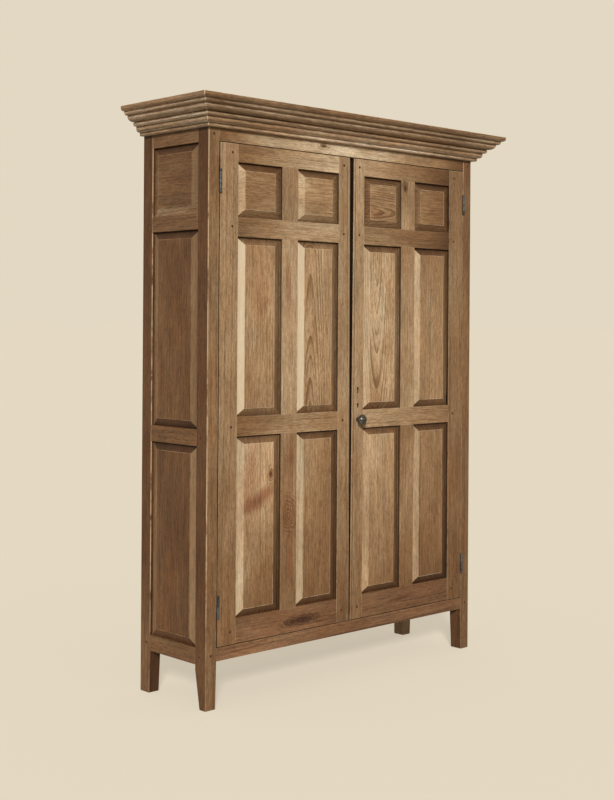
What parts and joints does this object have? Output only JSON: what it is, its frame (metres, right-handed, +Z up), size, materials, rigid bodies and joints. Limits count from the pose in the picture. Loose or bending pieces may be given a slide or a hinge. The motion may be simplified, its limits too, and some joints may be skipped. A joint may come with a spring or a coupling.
{
  "type": "cupboard",
  "caption": "Tall two-door panelled wooden cupboard on post legs, with raised panels, a stacked cornice, shelves, butt hinges, a knob latch, a rim lock and sliding bolts.",
  "frame": {"origin": "on the floor, under the middle of the whole outline", "axes": "+Z up, the front with its doors faces -Y, +X to the right as seen from the front"},
  "size_m": [1.514, 0.452, 2],
  "materials": {
    "frame_oak": "aged open-grained oak, waxed",
    "panel_oak": "aged oak with broad figure, waxed",
    "cornice_oak": "aged oak moulding, waxed",
    "inner_pine": "planed softwood board, unfinished and darkened",
    "peg_wood": "dark end-grain peg",
    "hinge_iron": "wrought iron, worn grey",
    "lock_iron": "blackened iron",
    "knob_iron": "dark polished iron"
  },
  "bodies": {
    "case": {"front_left_post": "frame_oak", "front_right_post": "frame_oak", "back_left_post": "frame_oak", "back_right_post": "frame_oak", "front_top_rail": "frame_oak", "front_bottom_rail": "frame_oak", "side_rails": "frame_oak", "left_upper_panel": "panel_oak", "left_middle_panel": "panel_oak", "left_lower_panel": "panel_oak", "right_upper_panel": "panel_oak", "right_middle_panel": "panel_oak", "right_lower_panel": "panel_oak", "cornice_front": "cornice_oak", "cornice_left": "cornice_oak", "cornice_right": "cornice_oak", "back_rails": "inner_pine", "back_boards": "inner_pine", "floor_boards": "inner_pine", "shelves": "inner_pine", "shelf_cleats": "inner_pine", "top_boards": "inner_pine", "door_stop": "inner_pine", "case_pegs": "peg_wood", "hinge_case_leaves": "hinge_iron", "hinge_pins": "hinge_iron", "case_hinge_screws": "hinge_iron"},
    "left_door": {"left_door_hinge_stile": "frame_oak", "left_door_meeting_stile": "frame_oak", "left_door_top_rail": "frame_oak", "left_door_frieze_rail": "frame_oak", "left_door_lock_rail": "frame_oak", "left_door_bottom_rail": "frame_oak", "left_door_muntins": "frame_oak", "left_door_upper_panels": "panel_oak", "left_door_middle_panels": "panel_oak", "left_door_lower_panels": "panel_oak", "left_door_pegs": "peg_wood", "left_door_hinge_leaves": "hinge_iron", "left_door_screws": "hinge_iron", "bolt_plates": "lock_iron"},
    "right_door": {"right_door_hinge_stile": "frame_oak", "right_door_meeting_stile": "frame_oak", "right_door_top_rail": "frame_oak", "right_door_frieze_rail": "frame_oak", "right_door_lock_rail": "frame_oak", "right_door_bottom_rail": "frame_oak", "right_door_muntins": "frame_oak", "right_door_upper_panels": "panel_oak", "right_door_middle_panels": "panel_oak", "right_door_lower_panels": "panel_oak", "right_door_pegs": "peg_wood", "right_door_hinge_leaves": "hinge_iron", "right_door_screws": "hinge_iron", "lock_case": "lock_iron"},
    "top_bolt": {"top_bolt": "lock_iron"},
    "bottom_bolt": {"bottom_bolt": "lock_iron"},
    "lock_bolt": {"lock_bolt": "lock_iron"},
    "door_knob": {"knob": "knob_iron", "latch_bar": "lock_iron"}
  },
  "joints": [
    {"name": "left_door_hinge", "type": "hinge", "parent": "case", "child": "left_door", "pos_m": [-0.6125, -0.1339, 1], "axis": [0, 0, -1], "range_deg": [0, 170]},
    {"name": "right_door_hinge", "type": "hinge", "parent": "case", "child": "right_door", "pos_m": [0.6125, -0.1339, 1], "axis": [0, 0, 1], "range_deg": [0, 170]},
    {"name": "knob_turn", "type": "hinge", "parent": "right_door", "child": "door_knob", "pos_m": [0.0365, -0.129, 0.9215], "axis": [0, 1, 0], "range_deg": [0, 90]},
    {"name": "lock_bolt_slide", "type": "slide", "parent": "right_door", "child": "lock_bolt", "axis": [-1, 0, 0], "range_m": [0, 0.021]},
    {"name": "top_bolt_slide", "type": "slide", "parent": "left_door", "child": "top_bolt", "axis": [0, 0, 1], "range_m": [0, 0.02]},
    {"name": "bottom_bolt_slide", "type": "slide", "parent": "left_door", "child": "bottom_bolt", "axis": [0, 0, -1], "range_m": [0, 0.02]}
  ]
}
